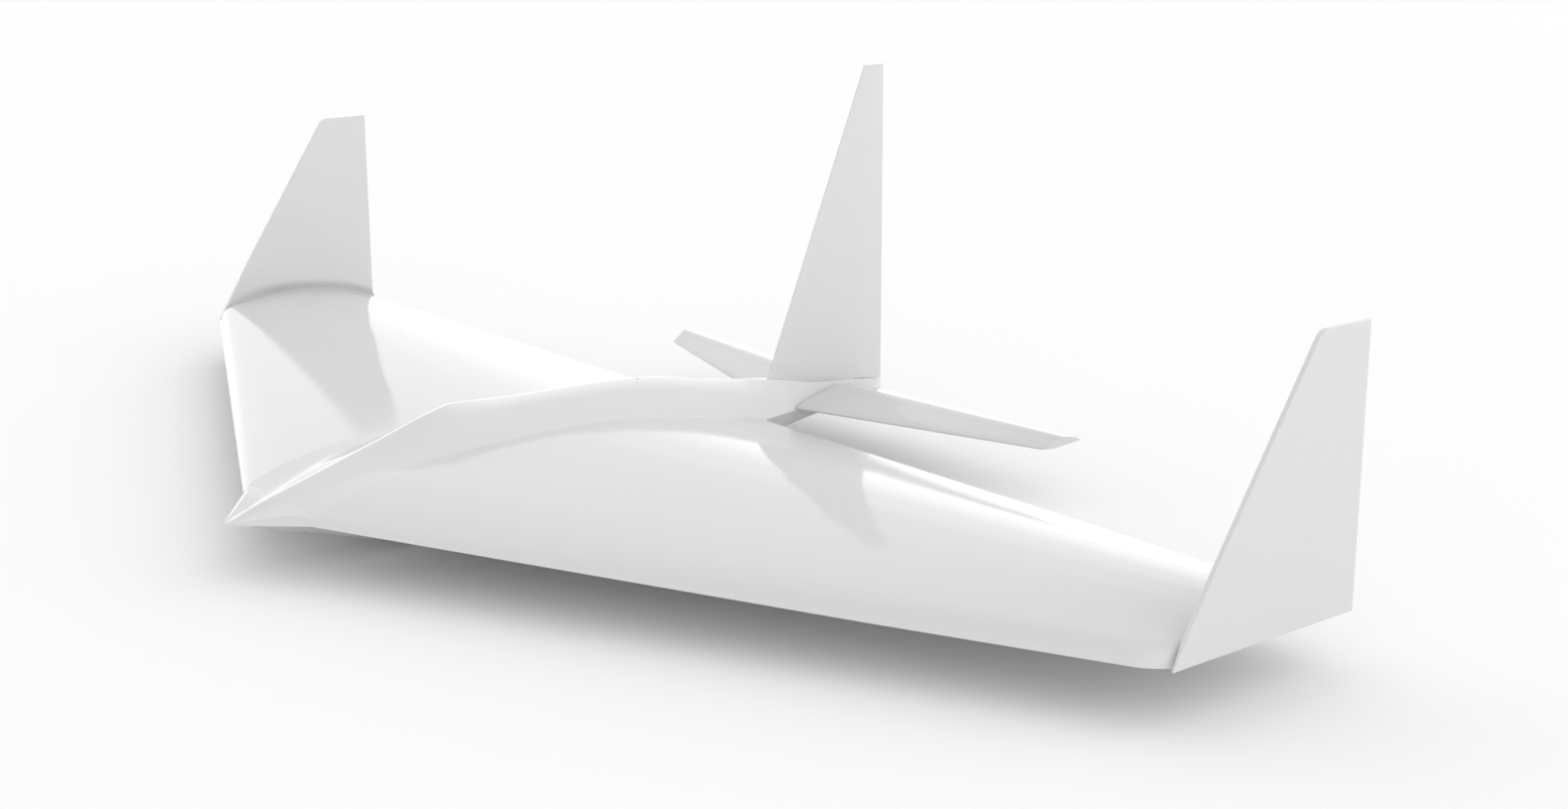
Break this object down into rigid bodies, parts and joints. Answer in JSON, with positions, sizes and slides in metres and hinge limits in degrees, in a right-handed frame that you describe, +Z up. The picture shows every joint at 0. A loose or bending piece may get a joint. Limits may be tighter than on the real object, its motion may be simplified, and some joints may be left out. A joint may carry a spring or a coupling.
{
  "type": "fixed wing drone",
  "caption": "Swept wing electric drone with upright winglets, a tall fin, a tailplane, hinged control surfaces, a ridge hatch and a ducted fan.",
  "frame": {"origin": "middle of the bounding box footprint, on the surface the belly rests on", "axes": "+X to the port wing tip, +Y aft from nose to tail, +Z up"},
  "size_m": [1.2008, 0.6069, 0.3102],
  "materials": {
    "white_skin": "gloss white moulded skin",
    "carbon": "satin woven carbon tube and laminate",
    "steel": "turned steel",
    "black_case": "fine textured black case",
    "black_nylon": "glass filled nylon",
    "plywood": "laser cut birch ply",
    "battery_wrap": "shrink wrapped cells",
    "webbing": "woven hook and loop strap",
    "green_board": "circuit board with a moulded cover"
  },
  "bodies": {
    "airframe": {"fuselage_upper_shell": "white_skin", "fuselage_lower_hull": "white_skin", "hatch_hinge_pin": "steel", "wing_left": "white_skin", "wing_right": "white_skin", "wing_spar_left": "carbon", "wing_spar_right": "carbon", "spar_joiner_left": "carbon", "spar_joiner_right": "carbon", "spar_carrier": "plywood", "wing_pin_left": "carbon", "wing_pin_right": "carbon", "winglet_left": "white_skin", "winglet_right": "white_skin", "winglet_dowel_front_left": "carbon", "winglet_dowel_front_right": "carbon", "winglet_dowel_rear_left": "carbon", "winglet_dowel_rear_right": "carbon", "aileron_servo_left": "black_case", "aileron_servo_right": "black_case", "servo_cover_left": "white_skin", "servo_cover_right": "white_skin", "aileron_end_pin_left": "steel", "aileron_end_pin_right": "steel", "tail_boom": "white_skin", "tailplane_left": "white_skin", "tailplane_right": "white_skin", "tailplane_spar": "carbon", "fin": "white_skin", "rudder_top_pin": "steel", "elevator_servo": "black_case", "rudder_servo": "black_case", "intake_duct": "carbon", "exhaust_duct": "carbon", "fan_housing": "black_nylon", "fan_motor": "steel", "intake_grille": "black_nylon", "battery_tray": "plywood", "battery": "battery_wrap", "battery_strap": "webbing", "flight_controller": "green_board", "equipment_deck": "plywood", "satellite_receiver": "black_case", "speed_controller": "black_case", "radio_receiver": "black_case"},
    "hatch": {"battery_hatch": "white_skin"},
    "port_aileron": {"aileron_left": "white_skin", "aileron_torque_tube_left": "carbon"},
    "starboard_aileron": {"aileron_right": "white_skin", "aileron_torque_tube_right": "carbon"},
    "port_elevator": {"elevator_left": "white_skin"},
    "starboard_elevator": {"elevator_right": "white_skin"},
    "joiner": {"elevator_joiner": "steel"},
    "elevator_arm": {"elevator_servo_arm": "black_nylon"},
    "elevator_rod": {"elevator_pushrod": "steel"},
    "rudder_surface": {"rudder": "white_skin", "rudder_torque_tube": "carbon"},
    "rudder_arm": {"rudder_servo_arm": "black_nylon"},
    "rudder_rod": {"rudder_pushrod": "steel"},
    "rotor": {"fan_rotor": "black_nylon"}
  },
  "joints": [
    {"name": "hatch_hinge", "type": "hinge", "parent": "airframe", "child": "hatch", "pos_m": [0, 0.04837, 0.0834], "axis": [-1, 0, 0], "range_deg": [0, 75]},
    {"name": "port_aileron_hinge", "type": "hinge", "parent": "airframe", "child": "port_aileron", "pos_m": [0.215, 0.08025, 0.04543], "axis": [0.995, 0.1, -0.0067], "range_deg": [-20, 25]},
    {"name": "starboard_aileron_hinge", "type": "hinge", "parent": "airframe", "child": "starboard_aileron", "pos_m": [-0.215, 0.08025, 0.04543], "axis": [0.995, -0.1, 0.0067], "range_deg": [-20, 25]},
    {"name": "port_elevator_hinge", "type": "hinge", "parent": "airframe", "child": "port_elevator", "pos_m": [0.01588, 0.25532, 0.04334], "axis": [0.994, 0.1088, 0.0053], "range_deg": [-20, 20]},
    {"name": "starboard_elevator_hinge", "type": "hinge", "parent": "airframe", "child": "starboard_elevator", "pos_m": [-0.01588, 0.25532, 0.04334], "axis": [0.994, -0.1088, -0.0053], "range_deg": [-20, 20]},
    {"name": "elevator_joiner_turn", "type": "hinge", "parent": "airframe", "child": "joiner", "pos_m": [0, 0.25547, 0.04335], "axis": [1, 0, 0], "range_deg": [-20, 20]},
    {"name": "elevator_servo_turn", "type": "hinge", "parent": "airframe", "child": "elevator_arm", "pos_m": [0.002, 0.20687, 0.03975], "axis": [1, 0, 0], "range_deg": [-20, 20]},
    {"name": "elevator_rod_pivot", "type": "hinge", "parent": "elevator_arm", "child": "elevator_rod", "pos_m": [0.002, 0.20687, 0.03275], "axis": [1, 0, 0], "range_deg": [-20, 20]},
    {"name": "rudder_hinge", "type": "hinge", "parent": "airframe", "child": "rudder_surface", "pos_m": [0, 0.27127, 0.056], "axis": [0, 0, 1], "range_deg": [-22, 22]},
    {"name": "rudder_servo_turn", "type": "hinge", "parent": "airframe", "child": "rudder_arm", "pos_m": [-0.0064, 0.20627, 0.0384], "axis": [0, 0, 1], "range_deg": [-22, 22]},
    {"name": "rudder_rod_pivot", "type": "hinge", "parent": "rudder_arm", "child": "rudder_rod", "pos_m": [-0.0116, 0.20627, 0.0384], "axis": [0, 0, 1], "range_deg": [-22, 22]},
    {"name": "fan_spin", "type": "hinge", "parent": "airframe", "child": "rotor", "pos_m": [0, 0.00427, 0.042], "axis": [0, 1, 0], "continuous": true}
  ],
  "couplings": [
    {"joint": "starboard_elevator_hinge", "follows": "port_elevator_hinge", "ratio": 1},
    {"joint": "elevator_joiner_turn", "follows": "port_elevator_hinge", "ratio": 1},
    {"joint": "elevator_servo_turn", "follows": "port_elevator_hinge", "ratio": 1},
    {"joint": "elevator_rod_pivot", "follows": "port_elevator_hinge", "ratio": -1},
    {"joint": "rudder_servo_turn", "follows": "rudder_hinge", "ratio": 1},
    {"joint": "rudder_rod_pivot", "follows": "rudder_hinge", "ratio": -1}
  ]
}
